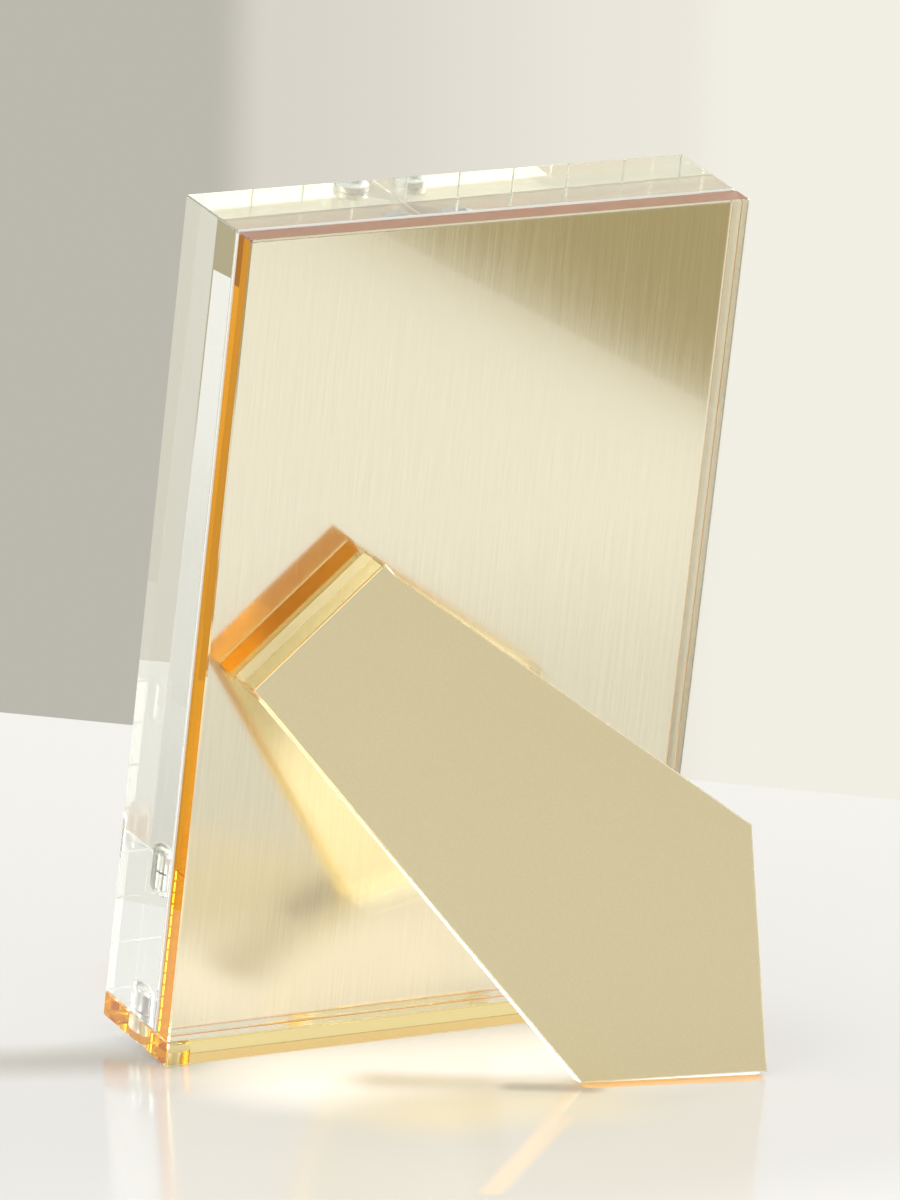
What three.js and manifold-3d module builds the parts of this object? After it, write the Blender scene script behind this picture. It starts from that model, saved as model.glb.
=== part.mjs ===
// Acrylic photo frame: a thick clear block stands on a honey-tinted base, against a honey-tinted back plate
// with a brushed sheet behind it. A folded leg of the same tinted acrylic, coated gold, props the frame up.
// Millimetres, +Z up. The picture side faces -Y and the leg reaches towards +Y.

import * as THREE from "three";
import { mergeVertices } from "three/addons/utils/BufferGeometryUtils.js";
import Module from "manifold-3d";

const wasm = await Module();
wasm.setup();

// Print and acrylic sheets: the block is of 3/4 inch acrylic, the tinted sheets are of 3/16 inch.
const printWidth = 101.6;
const printHeight = 152.4;
const printThickness = 0.25;
const blockDepth = 19.05;
const blockOverPrint = 0.6;
const backPlateThickness = 4.76;
const baseThickness = 4.76;
const acrylicBevel = 0.25;

// Brushed sheet behind the print
const goldSheetThickness = 0.2;
const goldSheetInset = 1.6;
const goldSheetCornerRadius = 1;

// Fits
const slipGap = 0.1;
const cementLine = 0.1;

// Magnets that locate the block on the base
const magnetDiameter = 6.35;
const blockMagnetLength = 3.2;
const baseMagnetLength = 3.8;
const magnetBoreClearance = 0.2;
const magnetFromSide = 6.3;
const magnetRecess = 0.2;
const boreDomeHeight = 1.7;

// How the frame stands
const leanDegrees = 10;

// Leg: one acrylic sheet, folded once. Its flange stands on its cut edge on the back plate.
const legSheet = 4.76;
const legBendRadius = 0.5;
const legFlangeHeight = 6.8;
const legFoldWidth = 32.7;
const legFoldDegrees = 42;
const legTiltDegrees = 22.6;
const legBaseFromLeft = 17.9;
const legBaseAboveBottom = 86.2;
const legLowerSideFlare = 2.5;
const legUpperSideFlare = 12.6;
const legUpperSideLength = 81.4;
const legToeOffset = 5.9;
const legToeLift = 0.45;
const legEdgeEase = 0.25;

const frameWidth = printWidth;
const blockHeight = printHeight + blockOverPrint;
const plateHeight = blockHeight;
const lean = THREE.MathUtils.degToRad(leanDegrees);

// Depths are measured from the outer face of the back plate, which lies at y = 0, towards the picture side.
const goldFrontDepth = backPlateThickness + cementLine + goldSheetThickness;
const printBackDepth = goldFrontDepth + slipGap;
const blockBackDepth = printBackDepth + printThickness + slipGap;
const frameDepth = blockBackDepth + blockDepth;
const magnetDepth = blockBackDepth + blockDepth / 2;
const restHeight = baseThickness + slipGap;

// The leaning base stands on its chamfer, just above where its sharp corner would be.
const chamferHeight = acrylicBevel * Math.sin(lean);

const finishes = {
  clear: { color: 0xf4f6f3, roughness: 0.03, metalness: 0, transparent: true, opacity: 0.35 },
  honey: { color: 0xe0a53a, roughness: 0.05, metalness: 0, transparent: true, opacity: 0.6 },
  gold: { color: 0xe6d6a8, roughness: 0.35, metalness: 1 },
  nickel: { color: 0xd6d6d2, roughness: 0.25, metalness: 1 },
  paper: { color: 0xf3efe4, roughness: 0.6, metalness: 0 },
};

// Boolean work happens on solids, and the finished solids go back into three.js meshes.
function solid(geometry, matrix = new THREE.Matrix4()) {
  const bare = geometry.clone().applyMatrix4(matrix);
  bare.deleteAttribute("normal");
  bare.deleteAttribute("uv");
  const merged = mergeVertices(bare, 1e-4);
  const vertProperties = Float32Array.from(merged.getAttribute("position").array);
  const triVerts = Uint32Array.from(merged.index.array);
  return new wasm.Manifold(new wasm.Mesh({ numProp: 3, vertProperties, triVerts }));
}

function namedMesh(name, body, finish) {
  const { vertProperties, triVerts, numProp } = body.getMesh();
  const points = new THREE.InterleavedBuffer(vertProperties, numProp);
  const geometry = new THREE.BufferGeometry();
  geometry.setAttribute("position", new THREE.InterleavedBufferAttribute(points, 3, 0));
  geometry.setIndex(new THREE.BufferAttribute(triVerts, 1));
  geometry.computeVertexNormals();
  const mesh = new THREE.Mesh(geometry, new THREE.MeshStandardMaterial(finishes[finish]));
  mesh.name = name;
  return mesh;
}

// A sheet of acrylic with a fine polished bevel on every edge: width along X, depth along Y, height along Z,
// its lower left corner nearest the viewer of the picture at the origin.
function bevelledSheet(width, depth, height) {
  const cut = acrylicBevel;
  const outline = new THREE.Shape([
    new THREE.Vector2(cut, 0),
    new THREE.Vector2(width - cut, 0),
    new THREE.Vector2(width, cut),
    new THREE.Vector2(width, depth - cut),
    new THREE.Vector2(width - cut, depth),
    new THREE.Vector2(cut, depth),
    new THREE.Vector2(0, depth - cut),
    new THREE.Vector2(0, cut),
  ]);
  const geometry = new THREE.ExtrudeGeometry(outline, {
    depth: height - 2 * cut,
    bevelThickness: cut,
    bevelSize: cut,
    bevelOffset: -cut,
    bevelSegments: 1,
  });
  return solid(geometry, new THREE.Matrix4().makeTranslation(0, 0, cut));
}

function roundedPlate(width, height, radius, thickness) {
  const outline = new THREE.Shape();
  outline.moveTo(0, 0);
  outline.lineTo(width, 0);
  outline.lineTo(width, height - radius);
  outline.absarc(width - radius, height - radius, radius, 0, Math.PI / 2);
  outline.lineTo(radius, height);
  outline.absarc(radius, height - radius, radius, Math.PI / 2, Math.PI);
  outline.closePath();
  const geometry = new THREE.ExtrudeGeometry(outline, {
    depth: thickness,
    bevelEnabled: false,
    curveSegments: 8,
  });
  return solid(geometry, new THREE.Matrix4().makeRotationX(Math.PI / 2));
}

// Puts the left end of a piece at the left side of the frame, with its back face at the given depth.
function placed(body, depthOfFront, height, inset = 0) {
  return body.translate([inset - frameWidth / 2, -depthOfFront, height]);
}

function dowel(radius, length) {
  const geometry = new THREE.CylinderGeometry(radius, radius, length, 32);
  const upright = new THREE.Matrix4().makeRotationX(Math.PI / 2);
  upright.setPosition(0, 0, length / 2);
  return solid(geometry, upright);
}

// A drilled hole seen from its mouth at z = 0, with the domed end that a ball cutter leaves.
function domedBore(radius, length, mouth) {
  const profile = [new THREE.Vector2(0, -mouth), new THREE.Vector2(radius, -mouth)];
  const steps = 8;
  for (let i = 0; i <= steps; i += 1) {
    const turn = (i / steps) * (Math.PI / 2);
    const across = i === steps ? 0 : radius * Math.cos(turn);
    profile.push(new THREE.Vector2(across, length + boreDomeHeight * Math.sin(turn)));
  }
  profile.push(new THREE.Vector2(0, -mouth));
  const geometry = new THREE.LatheGeometry(profile, 32);
  return solid(geometry, new THREE.Matrix4().makeRotationX(Math.PI / 2));
}

const boreRadius = magnetDiameter / 2 + magnetBoreClearance;
const magnetSides = { left: magnetFromSide - frameWidth / 2, right: frameWidth / 2 - magnetFromSide };
const boreOvercut = 1;

// Clear front block, with a blind bore near each end of its underside
function frontBlock() {
  let block = placed(bevelledSheet(frameWidth, blockDepth, blockHeight), frameDepth, restHeight);
  for (const x of Object.values(magnetSides)) {
    const bore = domedBore(boreRadius, magnetRecess + blockMagnetLength, boreOvercut);
    block = block.subtract(bore.translate([x, -magnetDepth, restHeight]));
  }
  return block;
}

// Base strip under both the block and the back plate, with a blind bore facing each bore of the block
function baseStrip() {
  let strip = placed(bevelledSheet(frameWidth, frameDepth, baseThickness), frameDepth, 0);
  const boreLength = magnetRecess + baseMagnetLength;
  for (const x of Object.values(magnetSides)) {
    const bore = dowel(boreRadius, boreLength + boreOvercut);
    strip = strip.subtract(bore.translate([x, -magnetDepth, baseThickness - boreLength]));
  }
  return strip;
}

function backPlate() {
  const sheet = bevelledSheet(frameWidth, backPlateThickness, plateHeight);
  return placed(sheet, backPlateThickness, baseThickness + cementLine);
}

function goldSheet() {
  const width = frameWidth - 2 * goldSheetInset;
  const height = plateHeight - goldSheetInset;
  const sheet = roundedPlate(width, height, goldSheetCornerRadius, goldSheetThickness);
  return placed(sheet, goldFrontDepth - goldSheetThickness, baseThickness + cementLine, goldSheetInset);
}

function photoPrint() {
  const geometry = new THREE.BoxGeometry(printWidth, printThickness, printHeight);
  const middle = restHeight + printHeight / 2;
  const seat = new THREE.Matrix4().makeTranslation(0, -printBackDepth - printThickness / 2, middle);
  return solid(geometry, seat);
}

function blockMagnet(x) {
  return dowel(magnetDiameter / 2, blockMagnetLength).translate([
    x,
    -magnetDepth,
    restHeight + magnetRecess,
  ]);
}

function baseMagnet(x) {
  const floor = baseThickness - magnetRecess - baseMagnetLength + cementLine;
  return dowel(magnetDiameter / 2, baseMagnetLength).translate([x, -magnetDepth, floor]);
}

// Leg frame: X runs across the back plate away from the fold, Y stands off the plate, Z runs along the fold.
function legFrame() {
  const fold = THREE.MathUtils.degToRad(legFoldDegrees);
  const away = new THREE.Vector3(-Math.sin(fold), 0, -Math.cos(fold));
  const out = new THREE.Vector3(0, 1, 0);
  const along = new THREE.Vector3().crossVectors(away, out);
  const onPlate = new THREE.Matrix4().makeBasis(away, out, along);
  onPlate.setPosition(frameWidth / 2 - legBaseFromLeft, cementLine, legBaseAboveBottom);
  return new THREE.Matrix4().makeRotationX(-lean).multiply(onPlate);
}

// Flange, leg and the fold between them, seen along the fold. The fold is round outside, and sharp inside, where
// the sheet was grooved before it was bent. The leg is cut short here: its plate is shaped by its own outline.
function foldSection(down, inward, innerCorner, stubLength) {
  const turn = Math.PI / 2 - down.angle();
  const bendReach = legBendRadius * Math.tan(turn / 2);
  const bendStart = legFlangeHeight - bendReach;
  const stubEnd = new THREE.Vector2(0, legFlangeHeight).addScaledVector(down, stubLength);
  const stubEndInside = stubEnd.clone().addScaledVector(inward, legSheet);
  const section = new THREE.Shape();
  section.moveTo(0, 0);
  section.lineTo(0, bendStart);
  section.absarc(legBendRadius, bendStart, legBendRadius, Math.PI, Math.PI - turn, true);
  section.lineTo(stubEnd.x, stubEnd.y);
  section.lineTo(stubEndInside.x, stubEndInside.y);
  section.lineTo(innerCorner.x, innerCorner.y);
  section.lineTo(legSheet, 0);
  section.closePath();
  return section;
}

// A cut sheet whose edges are all broken by the same small chamfer
function easedSheet(outline, thickness) {
  return new THREE.ExtrudeGeometry(outline, {
    depth: thickness - 2 * legEdgeEase,
    bevelThickness: legEdgeEase,
    bevelSize: legEdgeEase,
    bevelOffset: -legEdgeEase,
    bevelSegments: 1,
    curveSegments: 8,
  });
}

const stubOverlap = 1;

// The end of the leg is cut square to the sheet, so the leg stands on the heel of its inner edge.
function easelLeg() {
  const tilt = THREE.MathUtils.degToRad(legTiltDegrees);
  const down = new THREE.Vector2(Math.cos(tilt), Math.sin(tilt));
  const inward = new THREE.Vector2(down.y, -down.x);
  const plateStart = (legSheet * (1 - down.y)) / down.x;
  const innerCorner = new THREE.Vector2(0, legFlangeHeight)
    .addScaledVector(down, plateStart)
    .addScaledVector(inward, legSheet);
  const section = foldSection(down, inward, innerCorner, plateStart + stubOverlap);
  const alongFold = new THREE.Matrix4().makeTranslation(0, 0, legEdgeEase - legFoldWidth / 2);
  const fold = solid(easedSheet(section, legFoldWidth), alongFold);

  // Plan of the leg's plate: X down the leg from the fold, Y along the fold
  const inPlane = new THREE.Matrix4().makeBasis(
    new THREE.Vector3(down.x, down.y, 0),
    new THREE.Vector3(0, 0, 1),
    new THREE.Vector3(inward.x, inward.y, 0),
  );
  inPlane.setPosition(inward.x * legEdgeEase, legFlangeHeight + inward.y * legEdgeEase, 0);
  const standing = legFrame();
  const sideAt = (edge, flareDegrees, distance) =>
    new THREE.Vector2(distance, edge + (distance - plateStart) * Math.tan(THREE.MathUtils.degToRad(flareDegrees)));
  const lowerSide = (distance) => sideAt(legFoldWidth / 2, legLowerSideFlare, distance);
  const upperSide = (distance) => sideAt(-legFoldWidth / 2, -legUpperSideFlare, distance);
  const innerFaceHeight = (point) => {
    const inside = new THREE.Vector3(point.x, point.y, legSheet - legEdgeEase);
    return inside.applyMatrix4(inPlane).applyMatrix4(standing).z;
  };
  const reachGround = (from, to, lift) => {
    const drop = innerFaceHeight(from) - innerFaceHeight(to);
    return from.clone().lerp(to, (innerFaceHeight(from) - lift) / drop);
  };
  const heel = reachGround(lowerSide(plateStart), lowerSide(legUpperSideLength), chamferHeight);
  const toeLine = (distance) => new THREE.Vector2(distance, -legToeOffset);
  const toe = reachGround(toeLine(0), toeLine(legUpperSideLength), chamferHeight + legToeLift);
  const plan = new THREE.Shape([
    lowerSide(plateStart),
    upperSide(plateStart),
    upperSide(legUpperSideLength),
    toe,
    heel,
  ]);
  const plate = solid(easedSheet(plan, legSheet), inPlane);
  return fold.add(plate).transform(standing.toArray());
}

// Pieces that share the lean of the frame
const leaning = new THREE.Group();
leaning.rotation.x = -lean;
leaning.add(
  namedMesh("front_block", frontBlock(), "clear"),
  namedMesh("base_strip", baseStrip(), "honey"),
  namedMesh("back_plate", backPlate(), "honey"),
  namedMesh("gold_sheet", goldSheet(), "gold"),
  namedMesh("photo_print", photoPrint(), "paper"),
);
for (const [side, x] of Object.entries(magnetSides)) {
  leaning.add(
    namedMesh(`block_magnet_${side}`, blockMagnet(x), "nickel"),
    namedMesh(`base_magnet_${side}`, baseMagnet(x), "nickel"),
  );
}

const frame = new THREE.Group();
frame.name = "photo_frame";
frame.add(leaning, namedMesh("easel_leg", easelLeg(), "gold"));

// The origin lies under the middle of the frame, on the surface that it stands on.
frame.updateMatrixWorld(true);
const extent = new THREE.Box3().setFromObject(frame, true);
const middle = extent.getCenter(new THREE.Vector3());
frame.position.set(-middle.x, -middle.y, -extent.min.z);
frame.updateMatrixWorld(true);

export default frame;
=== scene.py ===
# %% [markdown]
# # An acrylic photo frame, seen from behind
#
# The frame is a thick clear block on a honey-tinted base, against a honey-tinted back plate, with a
# brushed sheet between block and plate. A folded leg of the same tinted acrylic, coated gold on its outer
# side, props it up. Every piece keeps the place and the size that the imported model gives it, so this
# lesson is about finishes and light: clear and tinted acrylic, brushed metal, and what they show of a pale
# studio. Lengths are in metres, +Z is up, the picture faces -Y and the leg reaches towards +Y.

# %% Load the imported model
import math

import bmesh
import bpy
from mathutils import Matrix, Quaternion, Vector


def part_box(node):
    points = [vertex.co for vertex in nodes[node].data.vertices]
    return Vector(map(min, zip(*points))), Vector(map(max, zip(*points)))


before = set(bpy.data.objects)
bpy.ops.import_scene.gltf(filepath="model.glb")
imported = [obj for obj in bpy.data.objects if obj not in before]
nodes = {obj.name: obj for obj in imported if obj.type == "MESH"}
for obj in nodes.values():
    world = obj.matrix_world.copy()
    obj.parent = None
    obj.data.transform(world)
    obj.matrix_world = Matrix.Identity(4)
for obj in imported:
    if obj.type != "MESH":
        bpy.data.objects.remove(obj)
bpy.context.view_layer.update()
scene = bpy.context.scene
print("pieces:", ", ".join(sorted(nodes)))

# %% [markdown]
# ## Camera
#
# The photograph was taken with a long lens from the upper left of the frame's back, so edges that are
# parallel stay almost parallel. A camera is placed by the direction it looks from, its distance and a
# small roll. The alternative, typing in a location and three angles, hides what the numbers mean.

# %% Place the camera
MILLIMETRE = 0.001
CAMERA_AZIMUTH = math.radians(150.204)
CAMERA_ELEVATION = math.radians(12.247)
CAMERA_ROLL = math.radians(1.077)
CAMERA_DISTANCE = 2.0735
CAMERA_AIM = Vector((1.05, -1.6, 83.8)) * MILLIMETRE
LENS = 347.4
SENSOR_LONG_SIDE = 36.0
NEAREST_SEEN = 0.01
FARTHEST_SEEN = 100


def towards(azimuth, elevation):
    """The direction from the object to something seen at that azimuth and elevation."""
    flat = math.cos(elevation)
    return Vector((math.sin(azimuth) * flat, -math.cos(azimuth) * flat, math.sin(elevation)))


view_back = towards(CAMERA_AZIMUTH, CAMERA_ELEVATION)
camera = bpy.data.objects.new("camera", bpy.data.cameras.new("camera"))
scene.collection.objects.link(camera)
camera.location = CAMERA_AIM + view_back * CAMERA_DISTANCE
camera.rotation_mode = "QUATERNION"
camera.rotation_quaternion = (-view_back).to_track_quat("-Z", "Y") @ Quaternion((0, 0, 1), CAMERA_ROLL)
camera.data.lens = LENS
camera.data.sensor_width = SENSOR_LONG_SIDE
camera.data.clip_start = NEAREST_SEEN
camera.data.clip_end = FARTHEST_SEEN
scene.camera = camera
print("camera at", [round(c, 4) for c in camera.location])

# %% [markdown]
# ## Node helpers
#
# Materials are built from nodes in code. Clicking them together in the editor works as well, but code can
# be read from top to bottom and run again. Short helpers keep it readable: one adds a node and sets its
# sockets by name, another starts a material with a Principled shader that already reaches the output.
# What several materials share becomes a node group, with named inputs that each material sets.

# %% Helpers for nodes and materials
def add_node(tree, kind, inputs=None, **settings):
    """A node of that kind, with its settings and with its inputs set to values or linked to sockets."""
    node = tree.nodes.new(kind)
    for name, value in settings.items():
        setattr(node, name, value)
    for name, value in (inputs or {}).items():
        if isinstance(value, bpy.types.NodeSocket):
            tree.links.new(value, node.inputs[name])
        else:
            node.inputs[name].default_value = value
    return node


def new_material(name, **sockets):
    """A material and its Principled shader, with plain values set on the shader's own sockets."""
    material = bpy.data.materials.new(name)
    material.use_nodes = True
    shader = material.node_tree.nodes["Principled BSDF"]
    for socket, value in sockets.items():
        shader.inputs[socket.replace("_", " ")].default_value = value
    return material, shader


# %% Helpers for node groups
NUMBER = "NodeSocketFloat"
VECTOR = "NodeSocketVector"


def new_group(name, inputs, outputs):
    """A node group with inputs of (name, kind, start value) and outputs of (name, kind)."""
    group = bpy.data.node_groups.new(name, "ShaderNodeTree")
    for label, kind, start in inputs:
        socket = group.interface.new_socket(name=label, in_out="INPUT", socket_type=kind)
        socket.default_value = start
    for label, kind in outputs:
        group.interface.new_socket(name=label, in_out="OUTPUT", socket_type=kind)
    return group, group.nodes.new("NodeGroupInput"), group.nodes.new("NodeGroupOutput")


def use_group(material, group, **values):
    """Places a node group in a material and sets its inputs."""
    node = material.node_tree.nodes.new("ShaderNodeGroup")
    node.node_tree = group
    for name, value in values.items():
        node.inputs[name.replace("_", " ")].default_value = value
    return node


# %% Helpers for noise and sums
def object_place(tree):
    """Where each point of a surface lies, in its own object's metres."""
    return add_node(tree, "ShaderNodeTexCoord").outputs["Object"]


def noise(tree, place, scale, detail):
    """Soft noise at that place, around 0.5."""
    sockets = {"Vector": place, "Scale": scale, "Detail": detail}
    return add_node(tree, "ShaderNodeTexNoise", sockets).outputs["Fac"]


def remap(tree, value, source, target=(0.0, 1.0), curve="LINEAR"):
    """Moves a value from one range to another, and stops it at the ends."""
    names = ("From Min", "From Max", "To Min", "To Max")
    sockets = dict(zip(names, (*source, *target)), Value=value)
    return add_node(tree, "ShaderNodeMapRange", sockets, interpolation_type=curve).outputs["Result"]


def math_node(tree, operation, *values):
    """A Math node on those values or sockets, as its output."""
    return add_node(tree, "ShaderNodeMath", dict(enumerate(values)), operation=operation).outputs[0]


# %% [markdown]
# ## Handling marks
#
# Polished acrylic and satin metal both carry hairline scuffs and specks of dust. The real marks are far
# finer than a pixel, so what matters is that gloss isn't perfectly even. Painted scratches would need a
# picture for each piece. Here a noise drives a small change of roughness, and a few sharp Voronoi specks
# stand proud as bump. Several finishes need it, so it is one group with named inputs.

# %% Handling marks group
SMUDGE_SCALE = 45.0
SMUDGE_RANGE = (0.48, 0.75)
SPECK_SCALE = 260.0
SPECK_RIM = (0.02, 0.05)
marks, marks_in, marks_out = new_group(
    "Handling marks",
    [("Roughness", NUMBER, 0.02), ("Smudge", NUMBER, 0.02), ("Speck Size", NUMBER, 0.0002)],
    [("Roughness", NUMBER), ("Height", NUMBER)],
)
place = object_place(marks)
smudge = remap(marks, noise(marks, place, SMUDGE_SCALE, detail=4.0), SMUDGE_RANGE)
uneven = math_node(
    marks, "MULTIPLY_ADD", smudge, marks_in.outputs["Smudge"], marks_in.outputs["Roughness"]
)
specks = add_node(marks, "ShaderNodeTexVoronoi", {"Vector": place, "Scale": SPECK_SCALE})
speck_mask = remap(marks, specks.outputs["Distance"], SPECK_RIM, (1.0, 0.0))
speck_height = math_node(marks, "MULTIPLY", speck_mask, marks_in.outputs["Speck Size"])
marks.links.new(uneven, marks_out.inputs["Roughness"])
marks.links.new(speck_height, marks_out.inputs["Height"])
print("group", marks.name, "has", len(marks.nodes), "nodes")

# %% [markdown]
# ## Acrylic
#
# Acrylic bends light a little less than glass, with an index of 1.49. Its colour isn't on its surface:
# light loses blue and some green on its way through, so a thin look through the sheet is pale and the
# long way in at an edge is deep amber. A tinted surface colour can't do that, so the tint is volume
# absorption. A colour and a density say how much red, green and blue are lost in each metre.
#
# One material serves a whole piece, its polished faces and its cut faces alike. With a second material on
# some faces, light that comes in through one and leaves through the other would carry the tint out with
# it. So a face attribute says how satin each face is, and the material adds that to its roughness.

# %% Clear and honey acrylic
ACRYLIC_INDEX = 1.49
HONEY_LOSS = (1.0, 7.4, 35.0)
CLEAR_LOSS = (0.35, 0.20, 0.55)
SATIN = "satin"
WHITE = (1, 1, 1, 1)


def absorption(losses):
    """The colour and density of a volume that loses this much red, green and blue in each metre."""
    density = max(losses)
    return (*(1 - loss / density for loss in losses), 1), density


def acrylic(name, losses):
    """Polished acrylic: its tint as absorption inside, faint marks outside and satin cut faces."""
    material, shader = new_material(name, Base_Color=WHITE, IOR=ACRYLIC_INDEX, Transmission_Weight=1.0)
    tree = material.node_tree
    worn = use_group(material, marks, Roughness=0.0, Smudge=0.012, Speck_Size=0.0)
    satin = add_node(tree, "ShaderNodeAttribute", attribute_name=SATIN)
    roughness = math_node(tree, "ADD", satin.outputs["Fac"], worn.outputs["Roughness"])
    tree.links.new(roughness, shader.inputs["Roughness"])
    colour, density = absorption(losses)
    inside = add_node(tree, "ShaderNodeVolumeAbsorption", {"Color": colour, "Density": density})
    tree.links.new(inside.outputs["Volume"], tree.nodes["Material Output"].inputs["Volume"])
    return material


clear_acrylic = acrylic("clear_acrylic", CLEAR_LOSS)
honey_acrylic = acrylic("honey_acrylic", HONEY_LOSS)
print("honey acrylic loses", HONEY_LOSS, "per metre in red, green and blue")

# %% [markdown]
# ## Brushed sheet
#
# The sheet under the back plate is close to neutral: its gold is the honey acrylic in front of it. It is
# brushed upright, so it spreads reflections sideways and keeps them sharp along the brushing. Thousands of
# fine grooves as geometry or bump would only flicker at this size. Anisotropy along the sheet's upward
# direction does the spreading instead, and noise stretched into fine streaks adds the lines themselves.

# %% Sheet material
LEAN = math.radians(10)
PLATE_UPWARD = Vector((0.0, math.sin(LEAN), math.cos(LEAN)))
PLATE_OUTWARD = Vector((0.0, math.cos(LEAN), -math.sin(LEAN)))
BRUSHING_SCALE = (4200.0, 60.0, 60.0)
BRUSHING_RANGE = (0.3, 0.7)
BRUSHING_ROUGHNESS = (0.10, 0.14)
SHEET_DARK = (0.89, 0.90, 0.94, 1)
SHEET_PALE = (0.94, 0.955, 0.99, 1)
MIX_SHARE, MIX_FIRST, MIX_SECOND, MIX_RESULT = 0, 6, 7, 2


def mix_colours(tree, share, first, second):
    """Blends two colours, by a share from 0 to 1. A Mix node's colour sockets go by number."""
    sockets = {MIX_SHARE: share, MIX_FIRST: first, MIX_SECOND: second}
    return add_node(tree, "ShaderNodeMix", sockets, data_type="RGBA").outputs[MIX_RESULT]


brushed_sheet, sheet_shader = new_material(
    "brushed_sheet", Base_Color=SHEET_PALE, Metallic=1.0, Anisotropic=0.55
)
tree = brushed_sheet.node_tree
stretched = add_node(tree, "ShaderNodeMapping", {"Vector": object_place(tree), "Scale": BRUSHING_SCALE})
streaks = noise(tree, stretched.outputs["Vector"], scale=1.0, detail=3.0)
streak_roughness = remap(tree, streaks, BRUSHING_RANGE, BRUSHING_ROUGHNESS)
sheet_tone = mix_colours(tree, remap(tree, streaks, BRUSHING_RANGE), SHEET_DARK, SHEET_PALE)
upward = add_node(tree, "ShaderNodeCombineXYZ", dict(zip("XYZ", PLATE_UPWARD)))
tree.links.new(streak_roughness, sheet_shader.inputs["Roughness"])
tree.links.new(sheet_tone, sheet_shader.inputs["Base Color"])
tree.links.new(upward.outputs["Vector"], sheet_shader.inputs["Tangent"])
print("brushed sheet: roughness from", BRUSHING_ROUGHNESS[0], "to", BRUSHING_ROUGHNESS[1])

# %% [markdown]
# ## Gold coat of the leg
#
# The outer side of the leg carries a satin gold coat, while its flange, its fold, its edges and its inner
# side are bare honey acrylic. From outside the coat looks like fine metallic paint: soft reflections,
# tiny flakes and a few specks of dust. From inside it is a smooth mirror, which sends light on through
# the sheet until it comes out amber. A coat with a thickness of its own would be a second surface on top
# of the first. One material that knows which side it is seen from does the same with less.

# %% Coat material
FLAKE_SCALE = 3000.0
FLAKE_RANGE = (0.35, 0.65)
COAT_DULL = (0.695, 0.612, 0.388, 1)
COAT_BRIGHT = (0.722, 0.638, 0.412, 1)
leg_coat, coat_shader = new_material("leg_coat", Base_Color=COAT_BRIGHT, Metallic=1.0)
tree = leg_coat.node_tree
from_inside = add_node(tree, "ShaderNodeNewGeometry").outputs["Backfacing"]
from_outside = math_node(tree, "SUBTRACT", 1.0, from_inside)
flakes = noise(tree, object_place(tree), FLAKE_SCALE, detail=2.0)
coat_tone = mix_colours(tree, remap(tree, flakes, FLAKE_RANGE), COAT_DULL, COAT_BRIGHT)
either_side = mix_colours(tree, from_inside, coat_tone, WHITE)
worn = use_group(leg_coat, marks, Roughness=0.4, Smudge=0.05, Speck_Size=0.00004)
coat_roughness = math_node(tree, "MULTIPLY", worn.outputs["Roughness"], from_outside)
dust_height = math_node(tree, "MULTIPLY", worn.outputs["Height"], from_outside)
dust = add_node(tree, "ShaderNodeBump", {"Height": dust_height, "Strength": 0.6, "Distance": 1.0})
tree.links.new(either_side, coat_shader.inputs["Base Color"])
tree.links.new(coat_roughness, coat_shader.inputs["Roughness"])
tree.links.new(dust.outputs["Normal"], coat_shader.inputs["Normal"])
print("leg coat has", len(tree.nodes), "nodes")

# %% [markdown]
# ## Nickel and paper
#
# The magnets are round and nickel-plated, and the print is bare photo paper: white, with a slight sheen
# and a fine tooth. Both could be one plain colour, but the magnets are handled and the paper is seen at a
# grazing angle, so the marks group and a little bump are worth their few nodes.

# %% Nickel and paper materials
TOOTH_SCALE = 2500.0
TOOTH_DEPTH = 0.00005
nickel, nickel_shader = new_material("nickel", Base_Color=(0.95, 0.945, 0.93, 1), Metallic=1.0)
worn = use_group(nickel, marks, Roughness=0.28, Smudge=0.1, Speck_Size=0.0)
nickel.node_tree.links.new(worn.outputs["Roughness"], nickel_shader.inputs["Roughness"])

paper, paper_shader = new_material("print_paper", Base_Color=(0.93, 0.92, 0.89, 1), Roughness=0.45)
tree = paper.node_tree
tooth = noise(tree, object_place(tree), TOOTH_SCALE, detail=3.0)
grain = add_node(tree, "ShaderNodeBump", {"Height": tooth, "Strength": 0.25, "Distance": TOOTH_DEPTH})
tree.links.new(grain.outputs["Normal"], paper_shader.inputs["Normal"])
print("metal and paper ready")

# %% [markdown]
# ## Satin faces
#
# Only the large faces of the acrylic are polished like glass. The drilled bores are frosted, and the fine
# bevels, the sawn top edge of the back plate and the leg's cut edges are satin. Such faces could be picked
# by hand in edit mode, but the direction and the place of a face already tell them apart, and a test in
# code finds them again each time the script runs. How well two directions agree is their dot product: 1
# along each other, 0 at a right angle.

# %% Find and mark satin faces
BORE_ROUGHNESS = 0.3
TOP_EDGE_ROUGHNESS = 0.7
BLOCK_BEVEL_ROUGHNESS = 0.25
HONEY_BEVEL_ROUGHNESS = 0.12
SHEET_AXES = (Vector((1.0, 0.0, 0.0)), PLATE_UPWARD, PLATE_OUTWARD)
ALONG = 0.95


def mark_satin(name, is_satin, roughness):
    """Writes that roughness on the faces of a piece that pass a test, and counts them."""
    mesh = nodes[name].data
    satin = mesh.attributes.get(SATIN) or mesh.attributes.new(SATIN, "FLOAT", "FACE")
    chosen = [face.index for face in mesh.polygons if is_satin(face)]
    for index in chosen:
        satin.data[index].value = roughness
    return len(chosen)


def is_bevel(face):
    """A face that looks along none of the sheet's directions."""
    return all(abs(face.normal.dot(axis)) < ALONG for axis in SHEET_AXES)


def is_top_edge(face):
    """A face that looks up along the lean of the plate."""
    return face.normal.dot(PLATE_UPWARD) > ALONG


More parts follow.
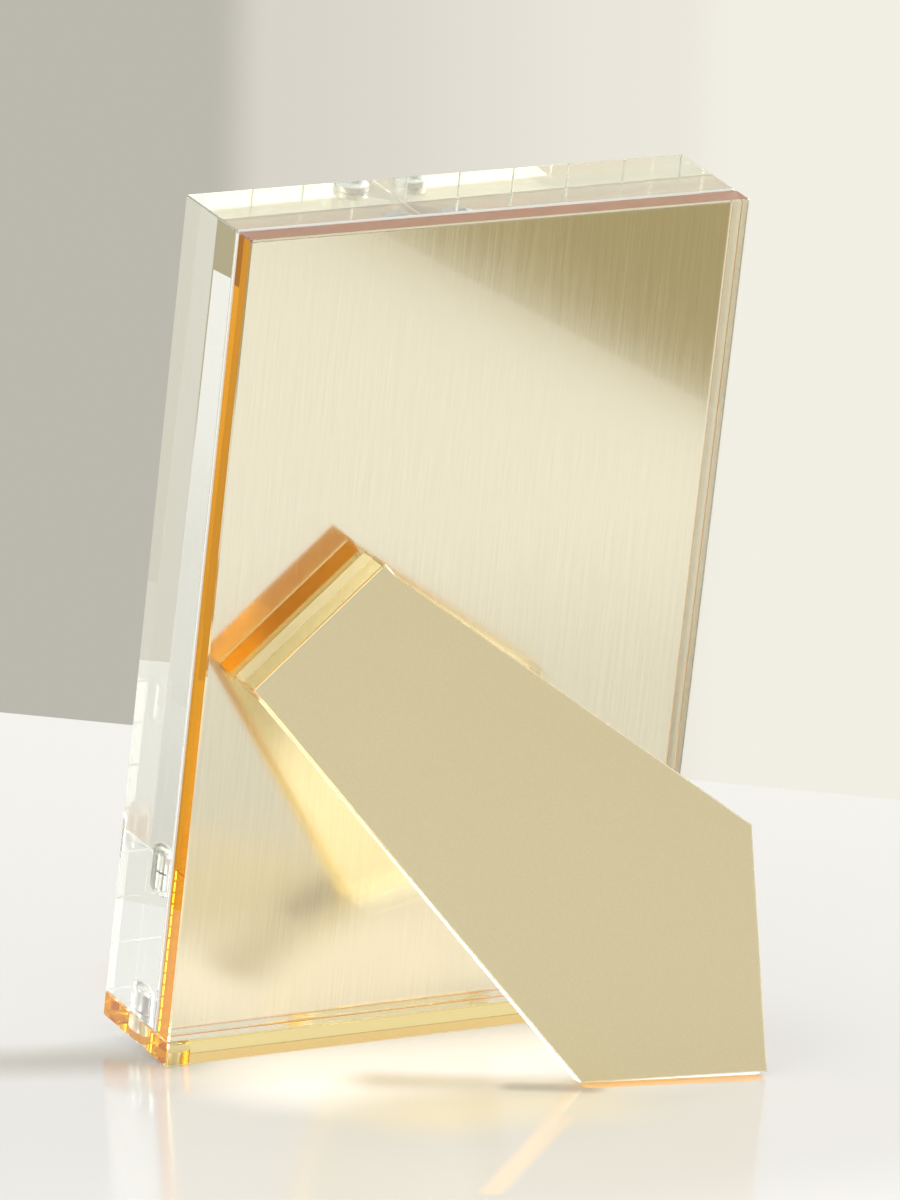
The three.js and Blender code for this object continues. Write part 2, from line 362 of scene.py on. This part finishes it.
def around(*magnets):
    """A test for faces that lie around one of these magnets."""
    boxes = [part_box(magnet) for magnet in magnets]
    centres = [(Vector(low) + Vector(high)) / 2 for low, high in boxes]
    reach = max(high[0] - low[0] for low, high in boxes)
    return lambda face: any((face.center - centre).length < reach for centre in centres)


in_block = around("block_magnet_left", "block_magnet_right")
in_base = around("base_magnet_left", "base_magnet_right")
for what, name, is_satin, roughness in (
    ("bevels", "front_block", is_bevel, BLOCK_BEVEL_ROUGHNESS),
    ("bevels", "base_strip", is_bevel, HONEY_BEVEL_ROUGHNESS),
    ("bevels", "back_plate", is_bevel, HONEY_BEVEL_ROUGHNESS),
    ("top edge", "back_plate", is_top_edge, TOP_EDGE_ROUGHNESS),
    ("bores", "front_block", in_block, BORE_ROUGHNESS),
    ("bores", "base_strip", in_base, BORE_ROUGHNESS),
):
    print("satin faces in the", what, "of the", name + ":", mark_satin(name, is_satin, roughness))

# %% [markdown]
# ## Dressing the pieces
#
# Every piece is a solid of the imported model, so dressing it means giving each face its finish. Faces that
# meet at a small angle are shaded as one round surface, and edges stay sharp. A weighted normal modifier
# keeps large flat faces flat where they run into a bend. Finer facets would also look round, but every
# facet costs time and shows again as a line in a mirror.

# %% Dress the pieces of the frame
SHARP_ANGLE = math.radians(25)


def dress(name, *finishes, choose=lambda face: 0):
    """Shades a piece and gives it its finishes, of which choose(face) picks one by number."""
    piece = nodes[name]
    mesh = piece.data
    mesh.materials.clear()
    for finish in finishes:
        mesh.materials.append(finish)
    for face in mesh.polygons:
        face.material_index = choose(face)
        face.use_smooth = True
    mesh.set_sharp_from_angle(angle=SHARP_ANGLE)
    even = piece.modifiers.new("even shading", "WEIGHTED_NORMAL")
    even.keep_sharp = True


dress("front_block", clear_acrylic)
dress("base_strip", honey_acrylic)
dress("back_plate", honey_acrylic)
dress("gold_sheet", brushed_sheet)
dress("photo_print", paper)
for side in ("left", "right"):
    dress(f"block_magnet_{side}", nickel)
    dress(f"base_magnet_{side}", nickel)
print("faces of the block:", len(nodes["front_block"].data.polygons))

# %% [markdown]
# ## Dressing the leg
#
# The coat covers only the leg's outer face, which is the leg's largest face that looks away from the
# picture. Its edges, its fold and its flange show the bare honey acrylic, and through it the back of the
# coat. The flange stands square on the back plate, so its upper face looks up along the plate. What lies
# along neither the leg's face nor the flange's is a cut edge, and is satin.

# %% Coat the leg
EDGE_ROUGHNESS = 0.45
SAME = 0.999
ALIKE = 0.9
HALFWAY = 0.5
SQUARE = 0.01
leg_faces = nodes["easel_leg"].data.polygons


def largest(faces):
    """The one of these faces that has the largest area."""
    return max(faces, key=lambda face: face.area)


def is_square_to_plate(face):
    """A face that looks neither towards the back plate nor away from it."""
    return abs(face.normal.dot(PLATE_OUTWARD)) < SQUARE


outward_faces = [face for face in leg_faces if face.normal.y > HALFWAY]
upper_faces = [face for face in leg_faces if is_square_to_plate(face) and face.normal.z > HALFWAY]
leg_normal = largest(outward_faces).normal.copy()
flange_normal = largest(upper_faces).normal.copy()


def is_coated(face):
    """1 for the outer face of the long plate, and 0 for bare acrylic."""
    return int(face.normal.dot(leg_normal) > SAME)


def is_cut_edge(face):
    """A face that looks across the sheet, on the long plate and the flange alike."""
    return all(abs(face.normal.dot(normal)) < ALIKE for normal in (leg_normal, flange_normal))


print("satin edges of the leg:", mark_satin("easel_leg", is_cut_edge, EDGE_ROUGHNESS))
dress("easel_leg", honey_acrylic, leg_coat, choose=is_coated)
print("coated faces of the leg:", sum(face.material_index for face in leg_faces))

# %% [markdown]
# ## Light on the table
#
# The brushed sheet and the honey acrylic throw soft light down onto the table, the leg leaves an amber
# line along its foot, and soft shade gathers at the frame's corner and at the leg's heel. A path tracer
# finds such light only by chance and takes thousands of samples over it. So the table's own material
# carries a little glow, which these patches tint, brighten or darken. Each patch is everything within
# reach of a line between two points, so one group with a start, an end, a width and a softness makes wide
# pools and thin streaks alike.

# %% Light patch group
light_patch, patch_in, patch_out = new_group(
    "Light patch",
    [
        ("Start", VECTOR, (0, 0, 0)),
        ("End", VECTOR, (0.1, 0, 0)),
        ("Width", NUMBER, 0.01),
        ("Softness", NUMBER, 0.01),
    ],
    [("Mask", NUMBER)],
)


def vector_node(tree, operation, result, *values):
    """A Vector Math node on those values or sockets, as its output of that name."""
    node = add_node(tree, "ShaderNodeVectorMath", dict(enumerate(values)), operation=operation)
    return node.outputs[result]


origin = patch_in.outputs["Start"]
along = vector_node(light_patch, "SUBTRACT", "Vector", patch_in.outputs["End"], origin)
offset = vector_node(light_patch, "SUBTRACT", "Vector", object_place(light_patch), origin)
reached = vector_node(light_patch, "DOT_PRODUCT", "Value", offset, along)
whole = vector_node(light_patch, "DOT_PRODUCT", "Value", along, along)
fraction = math_node(light_patch, "DIVIDE", reached, whole)
share = add_node(light_patch, "ShaderNodeClamp", {"Value": fraction})
nearest = add_node(
    light_patch, "ShaderNodeVectorMath", {0: along, "Scale": share.outputs["Result"]}, operation="SCALE"
)
distance = vector_node(light_patch, "DISTANCE", "Value", offset, nearest.outputs["Vector"])
beyond = math_node(light_patch, "SUBTRACT", distance, patch_in.outputs["Width"])
edge = (0.0, patch_in.outputs["Softness"])
mask = remap(light_patch, beyond, edge, (1.0, 0.0), curve="SMOOTHSTEP")
light_patch.links.new(mask, patch_out.inputs["Mask"])
print("group", light_patch.name, "has", len(light_patch.nodes), "nodes")

# %% [markdown]
# Each patch covers those before it in the list, so the wide pools come first and the fine lines last. Its
# start and end lie on the table top. Its width and softness follow, in metres, and then the tone of its
# glow.

# %% Table material
TABLE_GLOW = 0.6
TABLE_TONE = (0.43, 0.42, 0.40, 1)
TABLE_PATCHES = {
    "out of view": ((0.100, 0.260, 0), (-0.350, 0.260, 0), 0.110, 0.070, (0.64, 0.63, 0.63, 1)),
    "under the base": ((0.036, -0.026, 0), (-0.040, -0.026, 0), 0.006, 0.007, (0.60, 0.57, 0.52, 1)),
    "in front of the base": ((0.004, -0.064, 0), (-0.050, -0.064, 0), 0.014, 0.022, (0.43, 0.24, 0.10, 1)),
    "behind the plate": ((0.026, 0.003, 0), (-0.024, 0.010, 0), 0.006, 0.030, (1.11, 1.01, 0.90, 1)),
    "under the leg": ((0.022, 0.033, 0), (0.000, 0.036, 0), 0.000, 0.026, (0.70, 0.57, 0.32, 1)),
    "shade at the corner": ((0.052, -0.021, 0), (0.075, -0.030, 0), 0.000, 0.016, (0.12, 0.08, 0.03, 1)),
    "shade beside the heel": ((-0.006, 0.029, 0), (0.020, 0.011, 0), 0.000, 0.011, (0.54, 0.43, 0.26, 1)),
    "shade at the heel": ((-0.010, 0.0318, 0), (0.001, 0.0247, 0), 0.0004, 0.004, (0.18, 0.10, 0.02, 1)),
    "streak": ((0.004, 0.047, 0), (0.040, 0.085, 0), 0.0008, 0.0025, (0.72, 0.53, 0.33, 1)),
    "below the foot": ((-0.0128, 0.0264, 0), (-0.0427, 0.0344, 0), 0.0010, 0.0006, (2.0, 1.9, 1.6, 1)),
    "along the foot": ((-0.0120, 0.0298, 0), (-0.0410, 0.0378, 0), 0.0014, 0.0010, (0.95, 0.42, 0.03, 1)),
}
table_white, table_shader = new_material(
    "table_white", Base_Color=(0.38, 0.375, 0.365, 1), Roughness=0.13, Emission_Strength=TABLE_GLOW
)
tree = table_white.node_tree
glow = TABLE_TONE
for start, end, width, softness, tone in TABLE_PATCHES.values():
    patch = use_group(table_white, light_patch, Start=start, End=end, Width=width, Softness=softness)
    glow = mix_colours(tree, patch.outputs["Mask"], glow, tone)
tree.links.new(glow, table_shader.inputs["Emission Color"])
print("patches on the table:", ", ".join(TABLE_PATCHES))

# %% [markdown]
# ## Table
#
# The frame stands on a pale polished table top whose back edge shows behind it. The brushed sheet mirrors
# the table and, past the table's end, a darker corner of the room. A floor without end would be simpler,
# but then the honey acrylic's edges would have no darker room to look into. So the table is a slab with
# two edges in view and its end close by, out of view.

# %% Table top
TABLE_THICKNESS = 0.03
TABLE_LENGTH = 0.42
TABLE_REACH = 1.6
BACK_EDGE_DIRECTION = Vector((0.655, -0.755))
TABLE_CORNER = Vector((-0.275, -0.027))
SIDE_EDGE_DIRECTION = Vector((0.432, 0.902))


def slab(name, outline, top, thickness, material):
    """A flat slab whose outline runs counterclockwise, seen from above."""
    mesh = bpy.data.meshes.new(name)
    shape = bmesh.new()
    ring = [shape.verts.new((x, y, top)) for x, y in outline]
    face = shape.faces.new(ring)
    down = bmesh.ops.extrude_face_region(shape, geom=[face])
    moved = [v for v in down["geom"] if isinstance(v, bmesh.types.BMVert)]
    bmesh.ops.translate(shape, verts=moved, vec=(0, 0, -thickness))
    bmesh.ops.recalc_face_normals(shape, faces=shape.faces)
    shape.to_mesh(mesh)
    shape.free()
    mesh.materials.append(material)
    made = bpy.data.objects.new(name, mesh)
    scene.collection.objects.link(made)
    return made


back_end = TABLE_CORNER + BACK_EDGE_DIRECTION * TABLE_LENGTH
side_end = TABLE_CORNER + SIDE_EDGE_DIRECTION * TABLE_REACH
far_end = back_end + SIDE_EDGE_DIRECTION * TABLE_REACH
table = slab("table", [TABLE_CORNER, back_end, far_end, side_end], 0.0, TABLE_THICKNESS, table_white)
print("table size:", [round(c, 3) for c in table.dimensions])

# %% [markdown]
# ## Backdrop
#
# Beyond the table hangs a plain backdrop, lower than the table top so that it never hides the frame.
# Lighting it would take lamps that the acrylic also mirrors. It glows by itself instead, with a colour
# ramp of painted light from side to side: grey on one side and pale on the other.

# %% Backdrop material
# painted light: the backdrop's glow, grey on one side and pale on the other
BACKDROP_TONES = (
    (-0.092, (0.500, 0.482, 0.425, 1)),
    (-0.070, (0.690, 0.660, 0.590, 1)),
    (0.075, (0.830, 0.800, 0.715, 1)),
    (0.100, (0.885, 0.860, 0.775, 1)),
)
backdrop_material, backdrop_shader = new_material(
    "backdrop", Base_Color=(0, 0, 0, 1), Roughness=1.0, Specular_IOR_Level=0.0, Emission_Strength=1.0
)
tree = backdrop_material.node_tree
split = add_node(tree, "ShaderNodeSeparateXYZ", {"Vector": object_place(tree)})
left, right = BACKDROP_TONES[0][0], BACKDROP_TONES[-1][0]
ramp = add_node(tree, "ShaderNodeValToRGB", {"Fac": remap(tree, split.outputs["X"], (left, right))})
ramp.color_ramp.interpolation = "EASE"
for at, tone in BACKDROP_TONES[1:-1]:
    ramp.color_ramp.elements.new((at - left) / (right - left)).color = tone
ramp.color_ramp.elements[0].color = BACKDROP_TONES[0][1]
ramp.color_ramp.elements[len(BACKDROP_TONES) - 1].color = BACKDROP_TONES[-1][1]
tree.links.new(ramp.outputs["Color"], backdrop_shader.inputs["Emission Color"])
print("backdrop tones:", len(ramp.color_ramp.elements))

# %% Hang the backdrop
BACKDROP_DISTANCE = 2.1
BACKDROP_WIDTH = 0.8
BACKDROP_TOP = -0.13
BACKDROP_BOTTOM = -0.95
backdrop_mesh = bpy.data.meshes.new("backdrop")
half = BACKDROP_WIDTH / 2
corners = [
    (-half, 0, BACKDROP_BOTTOM),
    (half, 0, BACKDROP_BOTTOM),
    (half, 0, BACKDROP_TOP),
    (-half, 0, BACKDROP_TOP),
]
backdrop_mesh.from_pydata(corners, [], [(0, 1, 2, 3)])
backdrop_mesh.materials.append(backdrop_material)
backdrop = bpy.data.objects.new("backdrop", backdrop_mesh)
scene.collection.objects.link(backdrop)
away = -Vector((view_back.x, view_back.y, 0)).normalized()
backdrop.location = away * BACKDROP_DISTANCE
backdrop.rotation_euler = (0, 0, math.atan2(away.y, away.x) - math.pi / 2)
print("backdrop", BACKDROP_DISTANCE, "m behind the frame")

# %% [markdown]
# ## Sky
#
# Everything polished mirrors the room, so the room matters more than the lamps. A photographed room as the
# world's picture would do, but a few tones are easier to steer: pale above, a little warmer below the
# horizon, and dark in two low corners. The brushed sheet mirrors one of them and the side faces the other.

# %% World
HORIZON = (-0.25, -0.02)
PALE_BELOW = (0.74, 0.71, 0.62, 1)
DARK_BELOW = (0.45, 0.38, 0.22, 1)
PALE_ABOVE = (0.92, 0.91, 0.88, 1)
CORNER_IN_THE_SHEET = (-0.47, 0.72, -0.51)
CORNER_IN_THE_SIDE = (0.49, -0.85, -0.21)
CORNER_EDGE = (0.60, 0.90)
SKY_STRENGTH = 0.95
world = bpy.data.worlds.new("studio")
world.use_nodes = True
scene.world = world
sky = world.node_tree
direction = add_node(sky, "ShaderNodeTexCoord").outputs["Generated"]


def near(corner):
    """A mask that is 1 where the sky is seen close to this direction, and 0 well away from it."""
    closeness = vector_node(sky, "DOT_PRODUCT", "Value", direction, corner)
    return remap(sky, closeness, CORNER_EDGE, curve="SMOOTHSTEP")


parts = add_node(sky, "ShaderNodeSeparateXYZ", {"Vector": direction})
height = remap(sky, parts.outputs["Z"], HORIZON, curve="SMOOTHSTEP")
dark_share = math_node(sky, "MAXIMUM", near(CORNER_IN_THE_SHEET), near(CORNER_IN_THE_SIDE))
below = mix_colours(sky, dark_share, PALE_BELOW, DARK_BELOW)
background = sky.nodes["Background"]
background.inputs["Strength"].default_value = SKY_STRENGTH
sky.links.new(mix_colours(sky, height, below, PALE_ABOVE), background.inputs["Color"])
print("the sky has", len(sky.nodes), "nodes")

# %% [markdown]
# ## Lamps
#
# A soft studio: a window on the right, a weaker fill on the left, a soft light on the picture side and a
# large one above the camera. All are area lights, because a point or a sun would show in the acrylic as a
# hard spot. The window stands low, so it shines in between the leg and the back plate and the shade under
# the leg glows.

# %% Lights
WINDOW_WHITE = (1.0, 0.98, 0.95)
LAMP_WHITE = (1.0, 0.99, 0.97)


def soft_light(name, azimuth, elevation, distance, size, power, colour):
    """A square area light that faces the frame."""
    data = bpy.data.lights.new(name, "AREA")
    data.shape = "SQUARE"
    data.size = size
    data.energy = power
    data.color = colour
    light = bpy.data.objects.new(name, data)
    out = towards(math.radians(azimuth), math.radians(elevation))
    light.location = CAMERA_AIM + out * distance
    light.rotation_euler = out.to_track_quat("Z", "Y").to_euler()
    scene.collection.objects.link(light)
    print(name, "light at", [round(c, 2) for c in light.location])


soft_light("window", azimuth=-84, elevation=18, distance=1.3, size=0.9, power=17, colour=WINDOW_WHITE)
soft_light("fill", azimuth=122, elevation=14, distance=1.4, size=0.9, power=7, colour=LAMP_WHITE)
soft_light("front", azimuth=24, elevation=26, distance=1.4, size=0.8, power=4.5, colour=LAMP_WHITE)
soft_light("overhead", azimuth=150, elevation=60, distance=2.0, size=2.4, power=8, colour=LAMP_WHITE)

# %% [markdown]
# ## Light paths
#
# Light runs inside the tinted sheets and turns at every polished face, dozens of times, before it leaves
# through an edge. Blender's usual twelve bounces end it too soon, and the edges go brown or black. With
# five times as many they turn amber. The colours are shown in the Standard view, because a film look would
# grey the pale tones.

# %% Colours and light paths
LONG_PATH = 64
SHORT_PATH = 6
SEEN_THROUGH = 16
scene.view_settings.view_transform = "Standard"
scene.view_settings.look = "None"
scene.cycles.max_bounces = LONG_PATH
scene.cycles.transmission_bounces = LONG_PATH
scene.cycles.glossy_bounces = LONG_PATH
scene.cycles.diffuse_bounces = SHORT_PATH
scene.cycles.transparent_max_bounces = SEEN_THROUGH
print("light turns up to", scene.cycles.max_bounces, "times")
